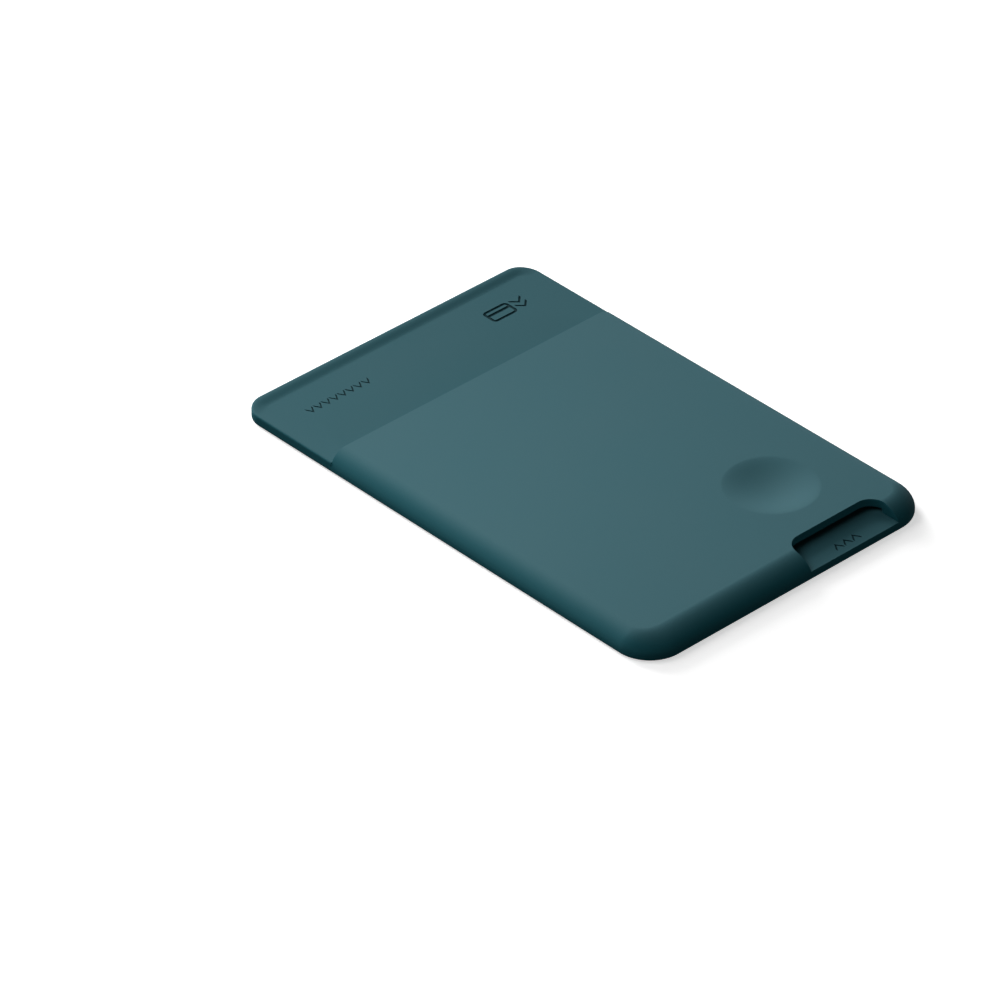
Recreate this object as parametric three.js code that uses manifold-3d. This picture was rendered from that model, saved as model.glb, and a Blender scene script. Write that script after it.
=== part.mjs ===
// Stick-on card pocket for the back of a phone: one silicone moulding and its adhesive sheet.
// Millimetres. +Z points out of the back, +Y towards the open flap, the origin is on the adhesive.
import * as THREE from 'three';
import { mergeVertices } from 'three/addons/utils/BufferGeometryUtils.js';
import Module from 'manifold-3d';

const wasm = await Module();
wasm.setup();

// The standard card that the pocket holds
const CARD_WIDTH = 53.98;
const CARD_LENGTH = 85.6;
const CARD_THICKNESS = 0.76;
const CARD_CORNER_RADIUS = 3.18;

// Clearances round the card
const CARD_SIDE_CLEARANCE = 0.5;
const CARD_FACE_CLEARANCE = 0.04;
const CARD_TO_LIP = 2.4;

// Walls of the moulding
const SIDE_WALL = 3.7;
const END_WALL = 3.8;
const FLOOR_THICKNESS = 1.7;
const PANEL_THICKNESS = 1.4;
const FLAP_THICKNESS = 2.1;
const FLAP_DEPTH = 21.6;

// Rounding of the outer form
const FLAP_CORNER_RADIUS = 3.9;
const END_CORNER_RADIUS = 6.6;
const BACK_EDGE_RADIUS = 0.75;
const FLAP_EDGE_RADIUS = 0.3;
const SHOULDER_START = 1.1;
const SIDE_SHOULDER = 3.2;
const END_SHOULDER = 4.3;
const SHOULDER_POWER = 1.8;

// Raised lip that stops the card at the far edge of the flap
const LIP_HEIGHT = 0.25;
const LIP_CREST = 0.5;
const LIP_WIDTH = 2.8;

// Lead-in that carries the card from the flap down to the floor of the slot
const LEAD_IN_LENGTH = 4.0;

// Thumb dimple in the panel and push-out notch in the end wall, both on one centre line.
// The dimple's power sets its rim: crisp at 1, soft at 2.
const PUSH_LINE_X = 14.0;
const DIMPLE_DIAMETER = 16.0;
const DIMPLE_DEPTH = 0.7;
const DIMPLE_POWER = 1.2;
const DIMPLE_TO_NOTCH = 12.6;
const NOTCH_WIDTH = 19.5;
const NOTCH_DEPTH = 6.35;
const NOTCH_CORNER_RADIUS = 3.0;

// Double-sided adhesive sheet, set in a shallow recess in the back
const ADHESIVE_THICKNESS = 0.4;
const ADHESIVE_RECESS = 0.3;
const ADHESIVE_MARGIN = 3.2;
const ADHESIVE_CORNER_RADIUS = 4.0;
const ADHESIVE_CLEARANCE = 0.3;

// Fineness of the facets
const CORNER_STEPS = 10;
const BACK_EDGE_STEPS = 5;
const FLAP_EDGE_STEPS = 3;
const LIP_STEPS = 6;
const SHOULDER_STEPS = 12;
const DIMPLE_STEPS = 10;
const DIMPLE_SIDES = 48;

// How far a cutting solid reaches past the face that it opens
const OVERCUT = 1.0;

// Places worked out from the sizes above
const slotWidth = CARD_WIDTH + 2 * CARD_SIDE_CLEARANCE;
const slotHeight = CARD_THICKNESS + CARD_FACE_CLEARANCE;
const width = slotWidth + 2 * SIDE_WALL;
const length = END_WALL + CARD_LENGTH + CARD_TO_LIP + LIP_WIDTH;
const height = FLOOR_THICKNESS + slotHeight + PANEL_THICKNESS;
const farY = length / 2;
const endY = -length / 2;
const mouthY = farY - FLAP_DEPTH;
const slotEndY = endY + END_WALL;
const notchY = endY + NOTCH_DEPTH;
const dimpleY = notchY + DIMPLE_TO_NOTCH;
const backZ = ADHESIVE_THICKNESS - ADHESIVE_RECESS;

// Outline of the moulding seen from the front, counter-clockwise, drawn in from its sides,
// its lower end and its far end by separate insets. The corner centres stay where they are.
function outline(sideInset, endInset, farInset) {
  const corners = [
    [1, 1, FLAP_CORNER_RADIUS, farInset, 0],
    [-1, 1, FLAP_CORNER_RADIUS, farInset, 1],
    [-1, -1, END_CORNER_RADIUS, endInset, 2],
    [1, -1, END_CORNER_RADIUS, endInset, 3],
  ];
  const points = [];
  for (const [signX, signY, radius, insetY, quarter] of corners) {
    const centreX = signX * (width / 2 - radius);
    const centreY = signY * (length / 2 - radius);
    for (let step = 0; step <= CORNER_STEPS; step += 1) {
      const angle = (quarter + step / CORNER_STEPS) * Math.PI / 2;
      const x = centreX + (radius - sideInset) * Math.cos(angle);
      const y = centreY + (radius - insetY) * Math.sin(angle);
      points.push(new THREE.Vector2(x, y));
    }
  }
  return points;
}

// Ring of points over an outline, at a height given as a number or as a function of x and y
function ring(points, heightAt) {
  const at = typeof heightAt === 'function' ? heightAt : () => heightAt;
  return points.map((p) => new THREE.Vector3(p.x, p.y, at(p.x, p.y)));
}

// Closed skin through a stack of rings, with a flat cap on the first and on the last
function skin(rings) {
  const count = rings[0].length;
  const vertices = rings.flat();
  const faces = [];
  for (let level = 0; level + 1 < rings.length; level += 1) {
    for (let i = 0; i < count; i += 1) {
      const next = (i + 1) % count;
      const a = level * count + i;
      const b = level * count + next;
      const c = a + count;
      const d = b + count;
      faces.push([a, b, d], [a, d, c]);
    }
  }
  const flat = (level) => rings[level].map((p) => new THREE.Vector2(p.x, p.y));
  const top = (rings.length - 1) * count;
  for (const [a, b, c] of THREE.ShapeUtils.triangulateShape(flat(0), [])) {
    faces.push([a, c, b]);
  }
  for (const [a, b, c] of THREE.ShapeUtils.triangulateShape(flat(rings.length - 1), [])) {
    faces.push([top + a, top + b, top + c]);
  }
  const geometry = new THREE.BufferGeometry();
  geometry.setAttribute('position', new THREE.Float32BufferAttribute(
    vertices.flatMap((p) => [p.x, p.y, p.z]), 3));
  geometry.setIndex(faces.flat());
  return geometry;
}

// Rectangle with rounded corners, from one corner to the opposite one
function roundedRectangle(lowX, lowY, highX, highY, radius) {
  const shape = new THREE.Shape();
  shape.moveTo(lowX + radius, lowY);
  shape.lineTo(highX - radius, lowY);
  shape.absarc(highX - radius, lowY + radius, radius, -Math.PI / 2, 0);
  shape.lineTo(highX, highY - radius);
  shape.absarc(highX - radius, highY - radius, radius, 0, Math.PI / 2);
  shape.lineTo(lowX + radius, highY);
  shape.absarc(lowX + radius, highY - radius, radius, Math.PI / 2, Math.PI);
  shape.lineTo(lowX, lowY + radius);
  shape.absarc(lowX + radius, lowY + radius, radius, Math.PI, 1.5 * Math.PI);
  return shape;
}

// Plate of a shape in plan, from one height to another
function plate(shape, lowZ, highZ) {
  const geometry = new THREE.ExtrudeGeometry(shape, {
    depth: highZ - lowZ,
    bevelEnabled: false,
    curveSegments: CORNER_STEPS,
  });
  geometry.translate(0, 0, lowZ);
  return geometry;
}

// Solid of a closed mesh, for cutting and joining
function solid(geometry) {
  const bare = geometry.clone();
  bare.deleteAttribute('normal');
  bare.deleteAttribute('uv');
  const merged = mergeVertices(bare, 1e-5);
  return new wasm.Manifold(new wasm.Mesh({
    numProp: 3,
    vertProperties: new Float32Array(merged.attributes.position.array),
    triVerts: new Uint32Array(merged.index.array),
  }));
}

// Mesh geometry of a solid
function geometryOf(manifold) {
  const mesh = manifold.getMesh();
  const geometry = new THREE.BufferGeometry();
  geometry.setAttribute('position', new THREE.BufferAttribute(mesh.vertProperties, 3));
  geometry.setIndex(new THREE.BufferAttribute(mesh.triVerts, 1));
  geometry.computeVertexNormals();
  return geometry;
}

// Share of the full lip that is left at a distance from the far edge
function lipShare(distance) {
  return 1 - THREE.MathUtils.smoothstep(distance, LIP_CREST, LIP_WIDTH);
}

// Height of the flap's face, with the lip along its far edge, less a drop
function flapFace(drop) {
  return (x, y) => FLAP_THICKNESS + LIP_HEIGHT * lipShare(farY - y) - drop;
}

// Rings up the rounded lower edge, which the flap and the pocket share
function backEdgeRings() {
  const rings = [];
  for (let step = 0; step <= BACK_EDGE_STEPS; step += 1) {
    const angle = step / BACK_EDGE_STEPS * Math.PI / 2;
    const inset = BACK_EDGE_RADIUS * (1 - Math.sin(angle));
    const z = BACK_EDGE_RADIUS * (1 - Math.cos(angle));
    rings.push(ring(outline(inset, inset, inset), z));
  }
  return rings;
}

// Thin plate with a rounded edge and the lip on its face
function flapPlate() {
  const rings = backEdgeRings();
  for (let step = 0; step <= FLAP_EDGE_STEPS; step += 1) {
    const angle = step / FLAP_EDGE_STEPS * Math.PI / 2;
    const inset = FLAP_EDGE_RADIUS * (1 - Math.cos(angle));
    const drop = FLAP_EDGE_RADIUS * (1 - Math.sin(angle));
    rings.push(ring(outline(inset, inset, inset), flapFace(drop)));
  }
  for (let step = 0; step <= LIP_STEPS; step += 1) {
    const inset = LIP_CREST + (LIP_WIDTH - LIP_CREST) * step / LIP_STEPS;
    rings.push(ring(outline(inset, inset, inset), flapFace(0)));
  }
  return solid(skin(rings));
}

// Thicker block with wide soft shoulders, a superellipse in section
function pocketBlock() {
  const rings = backEdgeRings();
  const rise = height - SHOULDER_START;
  const power = 2 / SHOULDER_POWER;
  for (let step = 0; step <= SHOULDER_STEPS; step += 1) {
    const angle = step / SHOULDER_STEPS * Math.PI / 2;
    const share = step < SHOULDER_STEPS ? 1 - Math.cos(angle) ** power : 1;
    const z = SHOULDER_START + rise * Math.sin(angle) ** power;
    const side = SIDE_SHOULDER * share;
    rings.push(ring(outline(side, END_SHOULDER * share, side), z));
  }
  return solid(skin(rings));
}

// Box over the whole width, between two places along the length
function lengthSpan(lowY, highY) {
  const geometry = new THREE.BoxGeometry(
    width + 2 * OVERCUT, highY - lowY, height + 2 * OVERCUT);
  geometry.translate(0, (lowY + highY) / 2, height / 2);
  return solid(geometry);
}

// Flat space for the card, closed at the lower end, with the corners of the card
function cardSlot() {
  const shape = roundedRectangle(
    -slotWidth / 2, slotEndY, slotWidth / 2, mouthY + CARD_CORNER_RADIUS, CARD_CORNER_RADIUS);
  const space = solid(plate(shape, FLOOR_THICKNESS, FLOOR_THICKNESS + slotHeight));
  return space.intersect(lengthSpan(endY, mouthY - LEAD_IN_LENGTH));
}

// Space of the mouth, whose floor slopes from the slot up to the face of the flap
function leadIn() {
  const innerY = mouthY - LEAD_IN_LENGTH;
  const slope = (FLAP_THICKNESS - FLOOR_THICKNESS) / LEAD_IN_LENGTH;
  const ceilingZ = FLOOR_THICKNESS + slotHeight;
  const section = new THREE.Shape([
    new THREE.Vector2(innerY - OVERCUT, FLOOR_THICKNESS),
    new THREE.Vector2(innerY, FLOOR_THICKNESS),
    new THREE.Vector2(mouthY + OVERCUT, FLAP_THICKNESS + slope * OVERCUT),
    new THREE.Vector2(mouthY + OVERCUT, ceilingZ),
    new THREE.Vector2(innerY - OVERCUT, ceilingZ),
  ]);
  const geometry = plate(section, -slotWidth / 2, slotWidth / 2);
  geometry.rotateY(Math.PI / 2);
  geometry.rotateX(Math.PI / 2);
  return solid(geometry);
}

// Notch through the panel and the end wall, down to the floor of the slot
function pushNotch() {
  const shape = roundedRectangle(
    PUSH_LINE_X - NOTCH_WIDTH / 2, endY - NOTCH_CORNER_RADIUS - OVERCUT,
    PUSH_LINE_X + NOTCH_WIDTH / 2, notchY, NOTCH_CORNER_RADIUS);
  return solid(plate(shape, FLOOR_THICKNESS, height + OVERCUT));
}

// Soft round dish for the thumb, turned about its own axis
function thumbDimple() {
  const radius = DIMPLE_DIAMETER / 2;
  const profile = [];
  for (let step = 0; step <= DIMPLE_STEPS; step += 1) {
    const r = radius * step / DIMPLE_STEPS;
    const depth = DIMPLE_DEPTH * (1 - (r / radius) ** 2) ** DIMPLE_POWER;
    profile.push(new THREE.Vector2(r, height - depth));
  }
  profile.push(new THREE.Vector2(radius, height + OVERCUT));
  profile.push(new THREE.Vector2(0, height + OVERCUT));
  const geometry = new THREE.LatheGeometry(profile, DIMPLE_SIDES);
  geometry.rotateX(Math.PI / 2);
  geometry.translate(PUSH_LINE_X, dimpleY, 0);
  return solid(geometry);
}

// Plan of the adhesive sheet, or of its recess when it is grown by a clearance
function adhesivePlan(growth) {
  const halfWidth = width / 2 - ADHESIVE_MARGIN + growth;
  const halfLength = length / 2 - ADHESIVE_MARGIN + growth;
  return roundedRectangle(
    -halfWidth, -halfLength, halfWidth, halfLength, ADHESIVE_CORNER_RADIUS + growth);
}

// The moulding: flap and pocket, joined at the mouth by a strip that lies inside both
function outerForm() {
  const flap = flapPlate();
  const block = pocketBlock();
  const strip = flap.intersect(block).intersect(lengthSpan(mouthY - OVERCUT, mouthY + OVERCUT));
  return flap.intersect(lengthSpan(mouthY, farY + OVERCUT))
    .add(block.intersect(lengthSpan(endY - OVERCUT, mouthY)))
    .add(strip);
}

// The outer form less its hollows
function pocketSolid() {
  const recess = solid(plate(adhesivePlan(ADHESIVE_CLEARANCE), -OVERCUT, ADHESIVE_RECESS));
  return outerForm()
    .subtract(cardSlot().add(leadIn()))
    .subtract(pushNotch())
    .subtract(thumbDimple())
    .subtract(recess);
}

const silicone = new THREE.MeshStandardMaterial({
  color: 0x45666d,
  roughness: 0.62,
  metalness: 0,
});
const adhesive = new THREE.MeshStandardMaterial({
  color: 0xd9dadb,
  roughness: 0.45,
  metalness: 0,
});

const cardPocket = new THREE.Group();
cardPocket.name = 'stick_on_card_pocket';

const pocket = new THREE.Mesh(geometryOf(pocketSolid()), silicone);
pocket.name = 'pocket';
pocket.position.z = backZ;
cardPocket.add(pocket);

const sheet = new THREE.Mesh(plate(adhesivePlan(0), 0, ADHESIVE_THICKNESS), adhesive);
sheet.name = 'adhesive_sheet';
cardPocket.add(sheet);

export default cardPocket;
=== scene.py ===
# %% [markdown]
# # A stick-on card pocket in soft silicone
# The real object is one silicone moulding with an adhesive sheet on its back. It has a thin open
# flap, a thicker pocket with soft shoulders, a thumb dimple and a push-out notch. This lesson
# models its skin with bmesh operators, cuts its hollows, and gives it a matte moulded finish.

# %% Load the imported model
import math

import bmesh
import bpy
from mathutils import Matrix, Vector


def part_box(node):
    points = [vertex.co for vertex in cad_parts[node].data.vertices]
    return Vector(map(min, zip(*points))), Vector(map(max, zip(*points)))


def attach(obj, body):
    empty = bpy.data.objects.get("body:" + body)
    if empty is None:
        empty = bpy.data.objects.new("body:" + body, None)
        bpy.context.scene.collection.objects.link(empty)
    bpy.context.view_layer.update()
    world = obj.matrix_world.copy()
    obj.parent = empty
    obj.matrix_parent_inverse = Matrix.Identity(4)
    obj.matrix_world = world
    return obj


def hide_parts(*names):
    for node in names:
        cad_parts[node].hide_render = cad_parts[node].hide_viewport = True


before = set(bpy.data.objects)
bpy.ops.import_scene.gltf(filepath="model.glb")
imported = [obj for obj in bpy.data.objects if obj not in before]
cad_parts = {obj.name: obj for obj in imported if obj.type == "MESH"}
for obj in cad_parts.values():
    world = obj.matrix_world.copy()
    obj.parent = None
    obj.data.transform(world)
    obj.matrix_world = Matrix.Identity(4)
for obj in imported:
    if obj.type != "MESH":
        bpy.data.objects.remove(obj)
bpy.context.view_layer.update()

# %% [markdown]
# Everything is measured in metres, but a pocket is easier to think of in millimetres. `MM` turns
# one into the other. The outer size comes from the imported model, so the skin can't drift from it,
# and the other sizes are those of the moulding.

# %% Sizes of the moulding
MM = 0.001
LOW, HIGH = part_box("pocket")
WIDTH = HIGH.x - LOW.x
LENGTH = HIGH.y - LOW.y
HEIGHT = HIGH.z - LOW.z

FLAP_DEPTH = 21.6 * MM
FLAP_THICKNESS = 2.1 * MM
FLOOR_THICKNESS = 1.7 * MM
SLOT_HEIGHT = 0.8 * MM
SLOT_WIDTH = 54.98 * MM
END_WALL = 3.8 * MM
CARD_CORNER_RADIUS = 3.18 * MM
LEAD_IN_LENGTH = 4.0 * MM

FAR_Y = HIGH.y
END_Y = LOW.y
MOUTH_Y = FAR_Y - FLAP_DEPTH
OVERCUT = 1.0 * MM
print("Mouth of the slot at y =", round(MOUTH_Y / MM, 2), "mm")

# %% [markdown]
# The camera comes first. It is a long lens from the front left, looking down by about 35 degrees.
# The lens has almost no perspective, so the distance sets the scale. The camera isn't aimed at the
# object's origin: the origin lies a little to the right of the picture's centre and above it.

# %% Camera
VIEW_TURN = math.radians(42.946)
VIEW_TILT = math.radians(35.2)
CAMERA_DISTANCE = 1.143
PICTURE_SIZE = 1000.0
FOCAL_PIXELS = 7151.8
ORIGIN_PIXEL = (583.54, 464.74)
SENSOR_WIDTH = 36.0
SIGHT_LIMIT = 10.0


def add_camera():
    forward = Vector((
        math.sin(VIEW_TURN) * math.cos(VIEW_TILT),
        math.cos(VIEW_TURN) * math.cos(VIEW_TILT),
        -math.sin(VIEW_TILT),
    ))
    right = Vector((math.cos(VIEW_TURN), -math.sin(VIEW_TURN), 0.0))
    up = right.cross(forward)
    across = (ORIGIN_PIXEL[0] - PICTURE_SIZE / 2) / FOCAL_PIXELS
    down = (ORIGIN_PIXEL[1] - PICTURE_SIZE / 2) / FOCAL_PIXELS
    data = bpy.data.cameras.new("camera")
    data.sensor_width = SENSOR_WIDTH
    data.lens = FOCAL_PIXELS * SENSOR_WIDTH / PICTURE_SIZE
    data.clip_end = SIGHT_LIMIT
    camera = bpy.data.objects.new("camera", data)
    bpy.context.scene.collection.objects.link(camera)
    seat = Vector((0.0, 0.0, LOW.z))
    camera.location = seat - (forward + right * across - up * down) * CAMERA_DISTANCE
    camera.rotation_euler = forward.to_track_quat("-Z", "Y").to_euler()
    bpy.context.scene.camera = camera
    return camera


camera = add_camera()
print("Lens of", round(camera.data.lens, 1), "mm")

# %% [markdown]
# Three small helpers turn a bmesh into an object, bake a stack of modifiers into its mesh, and
# join or cut one closed object with another. The cutting object is thrown away afterwards.

# %% Helpers for objects
def make_object(name, bm):
    bmesh.ops.recalc_face_normals(bm, faces=bm.faces)
    mesh = bpy.data.meshes.new(name)
    bm.to_mesh(mesh)
    bm.free()
    obj = bpy.data.objects.new(name, mesh)
    bpy.context.scene.collection.objects.link(obj)
    return obj


def bake_modifiers(obj):
    depsgraph = bpy.context.evaluated_depsgraph_get()
    baked = bpy.data.meshes.new_from_object(obj.evaluated_get(depsgraph))
    obj.modifiers.clear()
    obj.data = baked


def combine(obj, other, operation):
    modifier = obj.modifiers.new(operation.lower(), "BOOLEAN")
    modifier.solver = "EXACT"
    modifier.operation = operation
    modifier.object = other
    bake_modifiers(obj)
    bpy.data.objects.remove(other)


# %% [markdown]
# Seen from the front, the moulding is a rectangle whose corners are rounder at the lower end than
# at the flap. A grid of one face is scaled to size, and `bevel` on its corner vertices rounds them.
# Each later ring is the one before, extruded, lifted and drawn in towards the corner centres, so
# the sides and the ends can be drawn in by different amounts.

# %% Outline and rings
CORNER_SEGMENTS = 24
CORNERS = [
    (1, 1, 3.9 * MM),
    (-1, 1, 3.9 * MM),
    (-1, -1, 6.6 * MM),
    (1, -1, 6.6 * MM),
]


def outline_face(bm):
    bmesh.ops.create_grid(bm, x_segments=1, y_segments=1, size=0.5)
    bmesh.ops.scale(bm, vec=(WIDTH, LENGTH, 1.0), verts=bm.verts)
    for sign_x, sign_y, radius in CORNERS:
        mine = [v for v in bm.verts if v.co.x * sign_x > 0 and v.co.y * sign_y > 0]
        bmesh.ops.bevel(
            bm, geom=mine, offset=radius, offset_type="OFFSET", segments=CORNER_SEGMENTS,
            profile=0.5, affect="VERTICES", material=-1,
        )
    bmesh.ops.translate(bm, vec=(0.0, 0.0, LOW.z), verts=bm.verts)


def draw_in(bm, verts, before, after):
    for sign_x, sign_y, radius in CORNERS:
        mine = [v for v in verts if v.co.x * sign_x > 0 and v.co.y * sign_y > 0]
        centre = Vector((sign_x * (WIDTH / 2 - radius), sign_y * (LENGTH / 2 - radius), 0.0))
        before_y = before[1] if sign_y < 0 else before[0]
        after_y = after[1] if sign_y < 0 else after[0]
        share = (
            (radius - after[0]) / (radius - before[0]),
            (radius - after_y) / (radius - before_y),
            1.0,
        )
        bmesh.ops.scale(bm, vec=share, space=Matrix.Translation(-centre), verts=mine)


def skin_from_rings(name, rings, face_height=None):
    bm = bmesh.new()
    outline_face(bm)
    edges = list(bm.edges)
    before = (0.0, 0.0)
    verts = list(bm.verts)
    for number, (side, end, z) in enumerate(rings):
        if number > 0:
            made = bmesh.ops.extrude_edge_only(bm, edges=edges)["geom"]
            verts = [g for g in made if isinstance(g, bmesh.types.BMVert)]
            fresh = set(verts)
            edges = [
                g for g in made
                if isinstance(g, bmesh.types.BMEdge) and set(g.verts) <= fresh
            ]
        draw_in(bm, verts, before, (side, end))
        for vert in verts:
            vert.co.z = LOW.z + z
            if face_height is not None:
                vert.co.z += face_height(vert.co, z)
        before = (side, end)
    bmesh.ops.edgeloop_fill(bm, edges=edges)
    return make_object(name, bm)


# %% [markdown]
# Both halves share the small round edge where the moulding meets the phone. The flap above it is a
# thin plate with a slightly rounded rim. Along the far edge its face rises into a low lip, which
# stops the card. The lip is a smooth step in height, which follows the corners and fades out there.

# %% Flap
BACK_EDGE_RADIUS = 0.75 * MM
BACK_EDGE_STEPS = 8
FLAP_EDGE_RADIUS = 0.3 * MM
FLAP_EDGE_STEPS = 4
LIP_HEIGHT = 0.3 * MM
LIP_CREST = 0.5 * MM
LIP_WIDTH = 2.8 * MM
LIP_STEPS = 14
RIM_START = FLAP_THICKNESS - 1.5 * FLAP_EDGE_RADIUS


def quarter_turn(steps):
    return [step / steps * math.pi / 2 for step in range(steps + 1)]


def back_edge_rings():
    rings = []
    for angle in quarter_turn(BACK_EDGE_STEPS):
        inset = BACK_EDGE_RADIUS * (1 - math.sin(angle))
        rings.append((inset, inset, BACK_EDGE_RADIUS * (1 - math.cos(angle))))
    return rings


def smooth_step(share):
    share = min(max(share, 0.0), 1.0)
    return share * share * (3 - 2 * share)


def lip_rise(place, z):
    if z < RIM_START:
        return 0.0
    radius = CORNERS[0][2]
    beside = max(abs(place.x) - (WIDTH / 2 - radius), 0.0)
    beyond = max(place.y - (FAR_Y - radius), 0.0)
    reach = math.hypot(beside, beyond)
    if reach == 0.0:
        return 0.0
    fall = smooth_step((radius - reach - LIP_CREST) / (LIP_WIDTH - LIP_CREST))
    fade = (beyond / reach) ** 2
    return LIP_HEIGHT * (1 - fall) * fade


def flap_rings():
    rings = back_edge_rings()
    for angle in quarter_turn(FLAP_EDGE_STEPS):
        inset = FLAP_EDGE_RADIUS * (1 - math.cos(angle))
        z = FLAP_THICKNESS - FLAP_EDGE_RADIUS * (1 - math.sin(angle))
        rings.append((inset, inset, z))
    for step in range(LIP_STEPS + 1):
        inset = LIP_CREST + (LIP_WIDTH - LIP_CREST) * step / LIP_STEPS
        rings.append((inset, inset, FLAP_THICKNESS))
    return rings


flap = skin_from_rings("flap", flap_rings(), lip_rise)
print("Flap plate:", len(flap.data.polygons), "faces")

# %% [markdown]
# The pocket is thicker, and its edges fall away in wide soft shoulders. Their section isn't a
# circle but a superellipse a little flatter than one, wider at the lower end than at the sides.

# %% Pocket block
SHOULDER_START = 1.1 * MM
SIDE_SHOULDER = 3.2 * MM
END_SHOULDER = 4.3 * MM
SHOULDER_POWER = 1.8
SHOULDER_STEPS = 20


def block_rings():
    rings = back_edge_rings()
    power = 2 / SHOULDER_POWER
    for angle in quarter_turn(SHOULDER_STEPS):
        share = 1 - max(math.cos(angle), 0.0) ** power
        z = SHOULDER_START + (HEIGHT - SHOULDER_START) * math.sin(angle) ** power
        rings.append((SIDE_SHOULDER * share, END_SHOULDER * share, z))
    return rings


body = skin_from_rings("pocket_skin", block_rings())
print("Pocket block:", len(body.data.polygons), "faces")

# %% [markdown]
# The hollows are cut with plain solids. A rounded plate serves for the card slot, the notch and the
# adhesive's recess: a one-face grid, scaled, with its corners bevelled. `thicken` extrudes any flat
# face into a solid, and also makes the lead-in and the marks further down.

# %% Cutting solids
PLATE_SEGMENTS = 16


def box_solid(name, low, high):
    bm = bmesh.new()
    bmesh.ops.create_cube(bm, size=1.0)
    size = [b - a for a, b in zip(low, high)]
    middle = [(a + b) / 2 for a, b in zip(low, high)]
    bmesh.ops.scale(bm, vec=size, verts=bm.verts)
    bmesh.ops.translate(bm, vec=middle, verts=bm.verts)
    return make_object(name, bm)


def thicken(bm, way):
    made = bmesh.ops.extrude_face_region(bm, geom=list(bm.faces))["geom"]
    moved = [g for g in made if isinstance(g, bmesh.types.BMVert)]
    bmesh.ops.translate(bm, vec=way, verts=moved)


def rounded_solid(name, low, high, radius):
    bm = bmesh.new()
    bmesh.ops.create_grid(bm, x_segments=1, y_segments=1, size=0.5)
    bmesh.ops.scale(bm, vec=(high[0] - low[0], high[1] - low[1], 1.0), verts=bm.verts)
    bmesh.ops.bevel(
        bm, geom=list(bm.verts), offset=radius, offset_type="OFFSET", segments=PLATE_SEGMENTS,
        profile=0.5, affect="VERTICES", material=-1,
    )
    middle = ((low[0] + high[0]) / 2, (low[1] + high[1]) / 2, low[2])
    bmesh.ops.translate(bm, vec=middle, verts=bm.verts)
    thicken(bm, (0.0, 0.0, high[2] - low[2]))
    return make_object(name, bm)


# %% [markdown]
# The flap and the block are each cut at the mouth and then joined, so the step between them is one
# clean edge.

# %% Join the two halves at the mouth
REACH = LENGTH
flap_side = box_solid("flap_side", (-REACH, MOUTH_Y, -REACH), (REACH, REACH, REACH))
block_side = box_solid("block_side", (-REACH, -REACH, -REACH), (REACH, MOUTH_Y, REACH))
combine(flap, flap_side, "INTERSECT")
combine(body, block_side, "INTERSECT")
combine(body, flap, "UNION")
print("Outer form:", len(body.data.polygons), "faces")

# %% [markdown]
# The card slot is a flat space with the corners of a card. At the mouth its floor slopes up to the
# face of the flap, so the card's edge doesn't catch. The notch goes down to the floor of the slot.

# %% Slot, lead-in and notch
PUSH_LINE_X = 14.0 * MM
NOTCH_WIDTH = 19.5 * MM
NOTCH_DEPTH = 6.35 * MM
NOTCH_CORNER_RADIUS = 3.0 * MM
NOTCH_Y = END_Y + NOTCH_DEPTH
SLOT_FLOOR_Z = LOW.z + FLOOR_THICKNESS
SLOT_CEILING_Z = SLOT_FLOOR_Z + SLOT_HEIGHT
INNER_MOUTH_Y = MOUTH_Y - LEAD_IN_LENGTH
SLOT_FRONT_Y = INNER_MOUTH_Y - OVERCUT / 2


def lead_in_solid():
    slope = (FLAP_THICKNESS - FLOOR_THICKNESS) / LEAD_IN_LENGTH
    bm = bmesh.new()
    section = [
        (INNER_MOUTH_Y - OVERCUT, SLOT_FLOOR_Z),
        (INNER_MOUTH_Y, SLOT_FLOOR_Z),
        (MOUTH_Y + OVERCUT, LOW.z + FLAP_THICKNESS + slope * OVERCUT),
        (MOUTH_Y + OVERCUT, SLOT_CEILING_Z),
        (INNER_MOUTH_Y - OVERCUT, SLOT_CEILING_Z),
    ]
    bm.faces.new([bm.verts.new((-SLOT_WIDTH / 2, y, z)) for y, z in section])
    thicken(bm, (SLOT_WIDTH, 0.0, 0.0))
    return make_object("lead_in", bm)


slot = rounded_solid(
    "slot",
    (-SLOT_WIDTH / 2, END_Y + END_WALL, SLOT_FLOOR_Z),
    (SLOT_WIDTH / 2, SLOT_FRONT_Y + CARD_CORNER_RADIUS, SLOT_CEILING_Z),
    CARD_CORNER_RADIUS,
)
slot_side = box_solid("slot_side", (-REACH, -REACH, -REACH), (REACH, SLOT_FRONT_Y, REACH))
combine(slot, slot_side, "INTERSECT")
combine(slot, lead_in_solid(), "UNION")
combine(body, slot, "DIFFERENCE")

notch = rounded_solid(
    "notch",
    (PUSH_LINE_X - NOTCH_WIDTH / 2, END_Y - NOTCH_CORNER_RADIUS - OVERCUT, SLOT_FLOOR_Z),
    (PUSH_LINE_X + NOTCH_WIDTH / 2, NOTCH_Y, HIGH.z + OVERCUT),
    NOTCH_CORNER_RADIUS,
)
combine(body, notch, "DIFFERENCE")
print("With slot and notch:", len(body.data.polygons), "faces")

# %% [markdown]
# The adhesive sheet sits in a shallow recess, with a small gap all round it. Its own size comes
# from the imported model.

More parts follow.
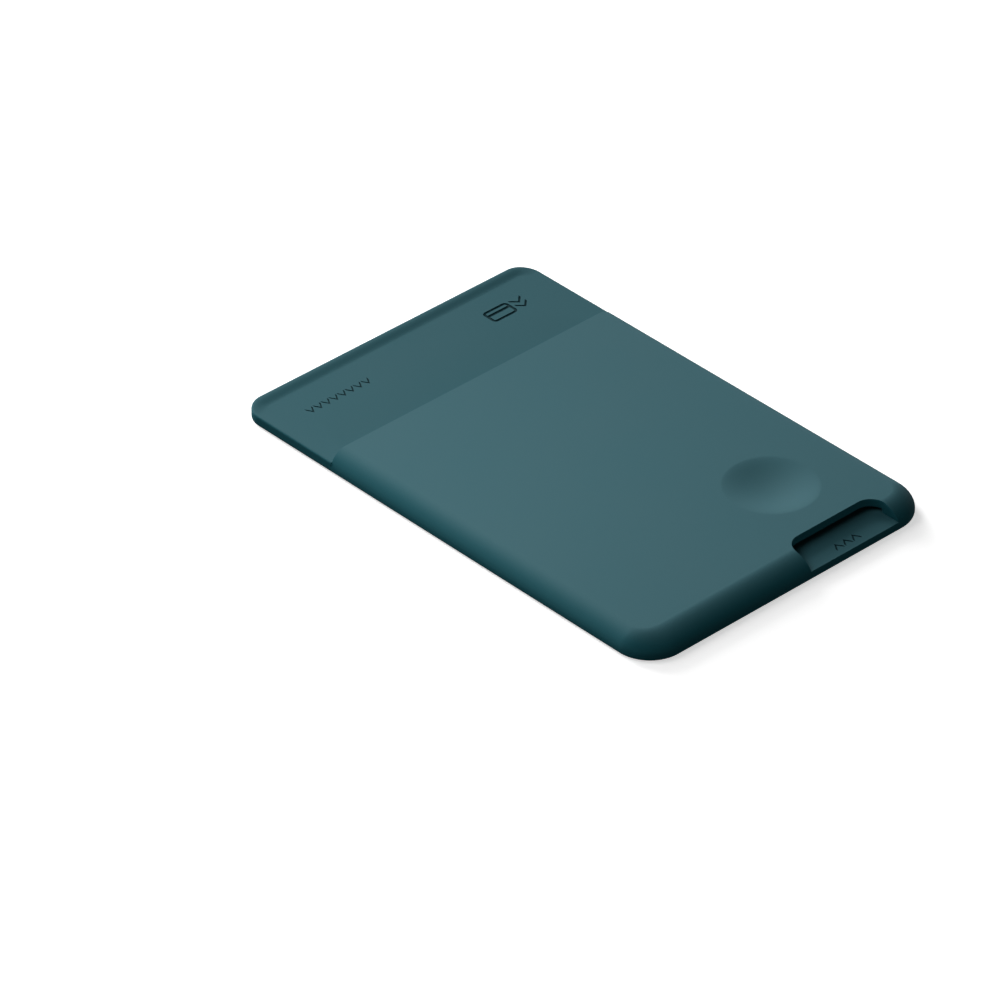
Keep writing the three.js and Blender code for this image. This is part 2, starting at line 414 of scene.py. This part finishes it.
# %% Recess for the adhesive
ADHESIVE_CLEARANCE = 0.3 * MM
ADHESIVE_RECESS = 0.3 * MM
ADHESIVE_CORNER_RADIUS = 4.0 * MM
SHEET_LOW, SHEET_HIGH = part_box("adhesive_sheet")
recess = rounded_solid(
    "recess",
    (SHEET_LOW.x - ADHESIVE_CLEARANCE, SHEET_LOW.y - ADHESIVE_CLEARANCE, LOW.z - OVERCUT),
    (SHEET_HIGH.x + ADHESIVE_CLEARANCE, SHEET_HIGH.y + ADHESIVE_CLEARANCE, LOW.z + ADHESIVE_RECESS),
    ADHESIVE_CORNER_RADIUS + ADHESIVE_CLEARANCE,
)
combine(body, recess, "DIFFERENCE")

# %% [markdown]
# The thumb dimple is a shallow dish whose rim is soft but can still be made out. Its profile is
# drawn as points from the axis outwards and turned by `spin`, with a lid above the panel. The power
# in its formula sets the rim: at 1 the dish would meet the panel in an edge, at 2 it would fade out.

# %% Thumb dimple
DIMPLE_DIAMETER = 16.2 * MM
DIMPLE_DEPTH = 0.8 * MM
DIMPLE_POWER = 1.5
DIMPLE_TO_NOTCH = 12.6 * MM
DIMPLE_POINTS = 28
DIMPLE_SIDES = 128
POLE_MERGE = 0.0001 * MM


def dimple_solid():
    bm = bmesh.new()
    radius = DIMPLE_DIAMETER / 2
    profile = []
    for step in range(DIMPLE_POINTS + 1):
        r = radius * step / DIMPLE_POINTS
        depth = DIMPLE_DEPTH * (1 - (r / radius) ** 2) ** DIMPLE_POWER
        profile.append((r, HIGH.z - depth))
    profile += [(radius, HIGH.z + OVERCUT), (0.0, HIGH.z + OVERCUT)]
    verts = [bm.verts.new((r, 0.0, z)) for r, z in profile]
    edges = [bm.edges.new(pair) for pair in zip(verts, verts[1:])]
    bmesh.ops.spin(
        bm, geom=verts + edges, cent=(0.0, 0.0, 0.0), axis=(0.0, 0.0, 1.0),
        angle=2 * math.pi, steps=DIMPLE_SIDES, use_merge=True,
    )
    bmesh.ops.remove_doubles(bm, verts=bm.verts, dist=POLE_MERGE)
    bmesh.ops.translate(bm, vec=(PUSH_LINE_X, NOTCH_Y + DIMPLE_TO_NOTCH, 0.0), verts=bm.verts)
    return make_object("dimple", bm)


combine(body, dimple_solid(), "DIFFERENCE")
print("With dimple:", len(body.data.polygons), "faces")

# %% [markdown]
# Three small marks are sunk into the moulding: which way the card goes in, what the pocket holds,
# and where to push it out. They are plain signs without words. Each is a flat outline made thick,
# and is cut by itself, so that signs which touch don't confuse the solver.

# %% Chevron, frame and bar
MARK_DEPTH = 0.12 * MM
MARK_STROKE = 0.5 * MM
TO_NOTCH = 1
TO_FLAP = -1


def chevron(x, y, width, height, way, surface_z):
    rise = height - MARK_STROKE
    outline = [
        (-width / 2, rise / 2), (0.0, -rise / 2), (width / 2, rise / 2),
        (width / 2, rise / 2 + MARK_STROKE), (0.0, -rise / 2 + MARK_STROKE),
        (-width / 2, rise / 2 + MARK_STROKE),
    ]
    bm = bmesh.new()
    bm.faces.new([
        bm.verts.new((x + px, y + way * (py - MARK_STROKE / 2), surface_z - MARK_DEPTH))
        for px, py in outline
    ])
    thicken(bm, (0.0, 0.0, 2 * MARK_DEPTH))
    return make_object("chevron", bm)


def rounded_frame(x, y, width, height, radius, surface_z):
    def rounded(half_width, half_height, r, overcut):
        low = (x - half_width, y - half_height, surface_z - MARK_DEPTH - overcut)
        high = (x + half_width, y + half_height, surface_z + MARK_DEPTH + overcut)
        return rounded_solid("card_sign", low, high, r)

    outer = rounded(width / 2, height / 2, radius, 0.0)
    inner = rounded(
        width / 2 - MARK_STROKE, height / 2 - MARK_STROKE, radius - MARK_STROKE, OVERCUT)
    combine(outer, inner, "DIFFERENCE")
    return outer


def bar(x, y, width, height, surface_z):
    return box_solid(
        "bar",
        (x - width / 2, y - height / 2, surface_z - MARK_DEPTH),
        (x + width / 2, y + height / 2, surface_z + MARK_DEPTH),
    )


# %% [markdown]
# The row of chevrons on the flap points into the slot. The card is a frame with a bar across it,
# and two wider chevrons beside it. The three chevrons in the notch point back towards the flap.

# %% Sunken marks
FLAP_Z = LOW.z + FLAP_THICKNESS
FLAP_MARKS_Y = 38.9 * MM
CHEVRON_HEIGHT = 1.7 * MM

WAY_IN_COUNT = 8
WAY_IN_PITCH = 1.72 * MM
WAY_IN_FIRST_X = -23.6 * MM
WAY_IN_WIDTH = 1.4 * MM

CARD_SIGN_X = 18.0 * MM
CARD_SIGN_WIDTH = 5.4 * MM
CARD_SIGN_HEIGHT = 3.4 * MM
CARD_SIGN_RADIUS = 0.8 * MM
BAR_RISE = 0.35 * MM
BAR_HEIGHT = 0.6 * MM
BAR_OVERLAP = 0.2 * MM
CARD_CHEVRON_X = CARD_SIGN_X + 4.4 * MM
CARD_CHEVRON_WIDTH = 2.5 * MM
CARD_CHEVRON_STEP = 0.75 * MM

PUSH_Y = -45.2 * MM
PUSH_PITCH = 1.9 * MM
PUSH_WIDTH = 1.6 * MM


def way_in_marks():
    places = [WAY_IN_FIRST_X + WAY_IN_PITCH * number for number in range(WAY_IN_COUNT)]
    return [
        chevron(x, FLAP_MARKS_Y, WAY_IN_WIDTH, CHEVRON_HEIGHT, TO_NOTCH, FLAP_Z) for x in places
    ]


def card_marks():
    frame_sign = rounded_frame(
        CARD_SIGN_X, FLAP_MARKS_Y, CARD_SIGN_WIDTH, CARD_SIGN_HEIGHT, CARD_SIGN_RADIUS, FLAP_Z)
    bar_width = CARD_SIGN_WIDTH - 2 * MARK_STROKE + BAR_OVERLAP
    bar_sign = bar(CARD_SIGN_X, FLAP_MARKS_Y + BAR_RISE, bar_width, BAR_HEIGHT, FLAP_Z)
    rows = [FLAP_MARKS_Y - CARD_CHEVRON_STEP, FLAP_MARKS_Y + CARD_CHEVRON_STEP]
    return [frame_sign, bar_sign] + [
        chevron(CARD_CHEVRON_X, y, CARD_CHEVRON_WIDTH, CHEVRON_HEIGHT, TO_NOTCH, FLAP_Z)
        for y in rows
    ]


def push_marks():
    places = [PUSH_LINE_X + PUSH_PITCH * step for step in (-1, 0, 1)]
    return [
        chevron(x, PUSH_Y, PUSH_WIDTH, CHEVRON_HEIGHT, TO_FLAP, SLOT_FLOOR_Z) for x in places
    ]


def bounding_box(obj):
    places = [v.co for v in obj.data.vertices]
    low = [min(p[axis] for p in places) for axis in range(3)]
    high = [max(p[axis] for p in places) for axis in range(3)]
    return low, high


mark_boxes = []
for mark in way_in_marks() + card_marks() + push_marks():
    mark_boxes.append(bounding_box(mark))
    combine(body, mark, "DIFFERENCE")
print("With marks:", len(body.data.polygons), "faces")

# %% [markdown]
# Cuts that run almost along a corner leave points a thousandth of a millimetre apart, and faces
# with no area between them. `remove_doubles` and `dissolve_degenerate` weld those away, and the
# mesh is then counted for edges that don't have exactly two faces.

# %% Weld what the cuts left
WELD_DISTANCE = 0.002 * MM


def weld(obj):
    bm = bmesh.new()
    bm.from_mesh(obj.data)
    bmesh.ops.remove_doubles(bm, verts=bm.verts, dist=WELD_DISTANCE)
    bmesh.ops.dissolve_degenerate(bm, edges=bm.edges, dist=WELD_DISTANCE)
    open_edges = sum(1 for edge in bm.edges if len(edge.link_faces) != 2)
    bm.to_mesh(obj.data)
    bm.free()
    return open_edges


print("Edges without two faces:", weld(body))
print("Welded:", len(body.data.polygons), "faces")

# %% [markdown]
# Smooth shading spreads each corner's normal over the faces round it. On a flat panel beside a
# narrow curve that would tilt the panel's edge. A Weighted Normal modifier lets the largest face
# win, so flats stay flat and the curve carries the whole turn.

# %% Smooth the skin and hang it in the frame
EDGE_ANGLE = math.radians(32)
FULL_WEIGHT = 100


def smooth(obj):
    obj.data.shade_smooth()
    obj.data.set_sharp_from_angle(angle=EDGE_ANGLE)
    modifier = obj.modifiers.new("weighted_normal", "WEIGHTED_NORMAL")
    modifier.mode = "FACE_AREA"
    modifier.weight = FULL_WEIGHT
    modifier.keep_sharp = True


smooth(body)
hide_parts("pocket")
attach(body, "root")

# %% [markdown]
# The silicone has the fine, dry grain of an etched mould and a barely uneven tint, and the foam
# tape has both too, coarser and paler. Faces that look up also get a painted sheen: a grey added to
# their colour, growing as they face more nearly up, that stands in for the light they reflect and
# makes them greyer than the walls. These effects are one node group. It reads Object coordinates, so
# the grain has a real size, and puts out a colour, a roughness and a height for a Bump node.

# %% Moulded grain and painted sheen, a shared node group
PAINTED_SHEEN_START = 0.6
PAINTED_SHEEN_POWER = 2.0
CLOUD_DETAIL = 3.0
GRAIN_DETAIL = 2.0
NOISE_MIDDLE = 0.5


def add_socket(group, name, kind, way, value=None):
    socket = group.interface.new_socket(name=name, in_out=way, socket_type=kind)
    if value is not None:
        socket.default_value = value


def noise(nodes, links, place, scale, detail):
    node = nodes.new("ShaderNodeTexNoise")
    node.inputs["Detail"].default_value = detail
    links.new(place, node.inputs["Vector"])
    links.new(scale, node.inputs["Scale"])
    return node.outputs["Fac"]


def spread_round(nodes, links, mask, middle, amount):
    centred = nodes.new("ShaderNodeMath")
    centred.operation = "SUBTRACT"
    centred.inputs[1].default_value = NOISE_MIDDLE
    links.new(mask, centred.inputs[0])
    step = nodes.new("ShaderNodeMath")
    step.operation = "MULTIPLY_ADD"
    links.new(centred.outputs[0], step.inputs[0])
    links.new(amount, step.inputs[1])
    if isinstance(middle, float):
        step.inputs[2].default_value = middle
    else:
        links.new(middle, step.inputs[2])
    return step.outputs[0]


# Painted sheen: a grey added to the colour of faces that look up, standing in for the light they
# reflect.
def painted_sheen_on_upward_faces(nodes, links, normal, amount):
    facing = nodes.new("ShaderNodeSeparateXYZ")
    links.new(normal, facing.inputs[0])
    upward = nodes.new("ShaderNodeMapRange")
    upward.inputs["From Min"].default_value = PAINTED_SHEEN_START
    links.new(facing.outputs["Z"], upward.inputs["Value"])
    eased = nodes.new("ShaderNodeMath")
    eased.operation = "POWER"
    eased.inputs[1].default_value = PAINTED_SHEEN_POWER
    links.new(upward.outputs[0], eased.inputs[0])
    scaled = nodes.new("ShaderNodeMath")
    scaled.operation = "MULTIPLY"
    links.new(eased.outputs[0], scaled.inputs[0])
    links.new(amount, scaled.inputs[1])
    return scaled.outputs[0]


def build_grain():
    group = bpy.data.node_groups.new("grain_and_painted_sheen", "ShaderNodeTree")
    add_socket(group, "Tint", "NodeSocketColor", "INPUT", (0.5, 0.5, 0.5, 1.0))
    add_socket(group, "Tint spread", "NodeSocketFloat", "INPUT", 0.1)
    add_socket(group, "Painted sheen", "NodeSocketFloat", "INPUT", 0.0)
    add_socket(group, "Roughness", "NodeSocketFloat", "INPUT", 0.6)
    add_socket(group, "Roughness spread", "NodeSocketFloat", "INPUT", 0.1)
    add_socket(group, "Cloud scale", "NodeSocketFloat", "INPUT", 60.0)
    add_socket(group, "Grain scale", "NodeSocketFloat", "INPUT", 3000.0)
    add_socket(group, "Colour", "NodeSocketColor", "OUTPUT")
    add_socket(group, "Roughness", "NodeSocketFloat", "OUTPUT")
    add_socket(group, "Height", "NodeSocketFloat", "OUTPUT")
    nodes, links = group.nodes, group.links
    given = nodes.new("NodeGroupInput").outputs
    result = nodes.new("NodeGroupOutput").inputs
    coordinates = nodes.new("ShaderNodeTexCoord").outputs
    place = coordinates["Object"]
    cloud = noise(nodes, links, place, given["Cloud scale"], CLOUD_DETAIL)
    grain = noise(nodes, links, place, given["Grain scale"], GRAIN_DETAIL)
    shade = spread_round(nodes, links, cloud, 1.0, given["Tint spread"])
    tinted = nodes.new("ShaderNodeVectorMath")
    tinted.operation = "SCALE"
    links.new(given["Tint"], tinted.inputs[0])
    links.new(shade, tinted.inputs["Scale"])
    tint_with_painted_sheen = nodes.new("ShaderNodeVectorMath")
    tint_with_painted_sheen.operation = "ADD"
    links.new(tinted.outputs[0], tint_with_painted_sheen.inputs[0])
    links.new(painted_sheen_on_upward_faces(nodes, links, coordinates["Normal"], given["Painted sheen"]), tint_with_painted_sheen.inputs[1])
    rough = spread_round(nodes, links, cloud, given["Roughness"], given["Roughness spread"])
    links.new(tint_with_painted_sheen.outputs[0], result["Colour"])
    links.new(rough, result["Roughness"])
    links.new(grain, result["Height"])
    return group


grain_and_painted_sheen = build_grain()
print("Grain group:", len(grain_and_painted_sheen.nodes), "nodes")

# %% [markdown]
# Each finish takes the group with its own values. The part of the flap that the card slides over has
# painted shade: its colour is a little deeper than the panel's to show shade falling on it, and it
# gets less painted sheen and a lower specular level. The marks are darker still. What is the same
# all over a surface, such as the specular level, stands on the shader's own socket.

# %% Finishes
SILICONE = (0.005, 0.096, 0.121)
FOAM_WHITE = (0.69, 0.70, 0.71)
ROUGHNESS_SPREAD = 0.1


def grained_finish(name, *, tint, spread, painted_sheen, roughness, specular, cloud, grain, grain_depth):
    material = bpy.data.materials.new(name)
    material.use_nodes = True
    nodes, links = material.node_tree.nodes, material.node_tree.links
    shader = nodes["Principled BSDF"]
    shader.inputs["Specular IOR Level"].default_value = specular
    effect = nodes.new("ShaderNodeGroup")
    effect.node_tree = grain_and_painted_sheen
    effect.inputs["Tint"].default_value = (*tint, 1.0)
    effect.inputs["Tint spread"].default_value = spread
    effect.inputs["Painted sheen"].default_value = painted_sheen
    effect.inputs["Roughness"].default_value = roughness
    effect.inputs["Roughness spread"].default_value = ROUGHNESS_SPREAD
    effect.inputs["Cloud scale"].default_value = cloud
    effect.inputs["Grain scale"].default_value = grain
    bump = nodes.new("ShaderNodeBump")
    bump.inputs["Distance"].default_value = grain_depth
    links.new(effect.outputs["Colour"], shader.inputs["Base Color"])
    links.new(effect.outputs["Roughness"], shader.inputs["Roughness"])
    links.new(effect.outputs["Height"], bump.inputs["Height"])
    links.new(bump.outputs["Normal"], shader.inputs["Normal"])
    return material


def silicone_finish(name, share, painted_sheen, specular):
    return grained_finish(
        name, tint=[value * share for value in SILICONE], spread=0.05, painted_sheen=painted_sheen,
        roughness=0.8, specular=specular, cloud=55.0, grain=2600.0, grain_depth=0.01 * MM,
    )


PANEL, SHADED_FLAP, MARK = range(3)
BOX_MARGIN = 0.001 * MM
body.data.materials.clear()
# Each silicone finish gets its own amount of painted sheen on upward faces; the marks get none.
body.data.materials.append(
    silicone_finish("silicone", share=1.0, painted_sheen=0.026, specular=0.26))
# The flap's finish has painted shade: its tint is 0.88 of the panel's, to show shade on the flap.
body.data.materials.append(
    silicone_finish("silicone_flap_painted_shade", share=0.88, painted_sheen=0.016, specular=0.2))
body.data.materials.append(
    silicone_finish("silicone_mark", share=0.28, painted_sheen=0.0, specular=0.1))


def inside(place, box):
    low, high = box
    return all(
        low[axis] - BOX_MARGIN <= place[axis] <= high[axis] + BOX_MARGIN for axis in range(3))


def is_mark(face):
    if not any(inside(face.center, box) for box in mark_boxes):
        return False
    surface = FLAP_Z if face.center.y > 0 else SLOT_FLOOR_Z
    return face.center.z < surface - MARK_DEPTH / 4


for face in body.data.polygons:
    on_flap = face.center.y > MOUTH_Y and face.center.z < FLAP_Z + LIP_HEIGHT
    face.material_index = MARK if is_mark(face) else SHADED_FLAP if on_flap else PANEL
print("Faces of the marks:", sum(1 for f in body.data.polygons if f.material_index == MARK))

foam = grained_finish(
    "adhesive", tint=FOAM_WHITE, spread=0.06, painted_sheen=0.0,
    roughness=0.4, specular=0.5, cloud=120.0, grain=1200.0, grain_depth=0.03 * MM,
)
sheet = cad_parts["adhesive_sheet"]
sheet.data.materials.clear()
sheet.data.materials.append(foam)

# %% [markdown]
# The pocket lies on a pale floor that glows a little, so it comes out white without lighting the
# silicone. Three large soft lights behind the far edge, one above the other, graze the panel and
# show the lip and the dimple. A small light above the left side lifts the panel there, and three
# weak strips close to the floor keep the walls from going black.

# %% Floor and lights
FLOOR_SIZE = 3.0
FLOOR_GREY = 0.9
FLOOR_ROUGHNESS = 0.9
FLOOR_GLOW = 0.6
WORLD_GLOW = 0.01
WHITE = (1.0, 1.0, 1.0, 1.0)


def add_floor():
    bm = bmesh.new()
    bmesh.ops.create_grid(bm, x_segments=1, y_segments=1, size=FLOOR_SIZE / 2)
    floor = make_object("floor", bm)
    material = bpy.data.materials.new("floor")
    material.use_nodes = True
    shader = material.node_tree.nodes["Principled BSDF"]
    shader.inputs["Base Color"].default_value = (FLOOR_GREY, FLOOR_GREY, FLOOR_GREY, 1.0)
    shader.inputs["Roughness"].default_value = FLOOR_ROUGHNESS
    shader.inputs["Emission Color"].default_value = WHITE
    shader.inputs["Emission Strength"].default_value = FLOOR_GLOW
    floor.data.materials.append(material)
    floor.visible_diffuse = False
    floor.visible_glossy = False


def add_soft_light(name, azimuth, elevation, distance, size, power):
    data = bpy.data.lights.new(name, "AREA")
    data.shape = "RECTANGLE"
    data.size, data.size_y = size
    data.energy = power
    light = bpy.data.objects.new(name, data)
    bpy.context.scene.collection.objects.link(light)
    a = math.radians(azimuth)
    e = math.radians(elevation)
    towards = Vector((math.sin(a) * math.cos(e), math.cos(a) * math.cos(e), math.sin(e)))
    light.location = towards * distance
    light.rotation_euler = towards.to_track_quat("Z", "Y").to_euler()


def set_world(strength):
    world = bpy.data.worlds.new("world")
    world.use_nodes = True
    background = world.node_tree.nodes["Background"]
    background.inputs["Color"].default_value = WHITE
    background.inputs["Strength"].default_value = strength
    bpy.context.scene.world = world


bpy.context.scene.view_settings.view_transform = "Standard"
add_floor()
add_soft_light("key_low", azimuth=5, elevation=14, distance=1.2, size=(0.9, 0.3), power=16.5)
add_soft_light("key_middle", azimuth=8, elevation=27, distance=1.2, size=(0.7, 0.4), power=7.7)
add_soft_light("key_high", azimuth=12, elevation=42, distance=1.2, size=(0.7, 0.4), power=1.8)
add_soft_light("overhead", azimuth=-82, elevation=60, distance=0.135, size=(0.09, 0.09), power=0.064)
add_soft_light("front_strip", azimuth=180, elevation=4, distance=0.6, size=(0.5, 0.06), power=0.28)
add_soft_light("left_strip", azimuth=-60, elevation=4, distance=0.6, size=(0.6, 0.06), power=0.65)
add_soft_light("right_strip", azimuth=75, elevation=3, distance=0.6, size=(0.5, 0.05), power=0.65)
set_world(WORLD_GLOW)
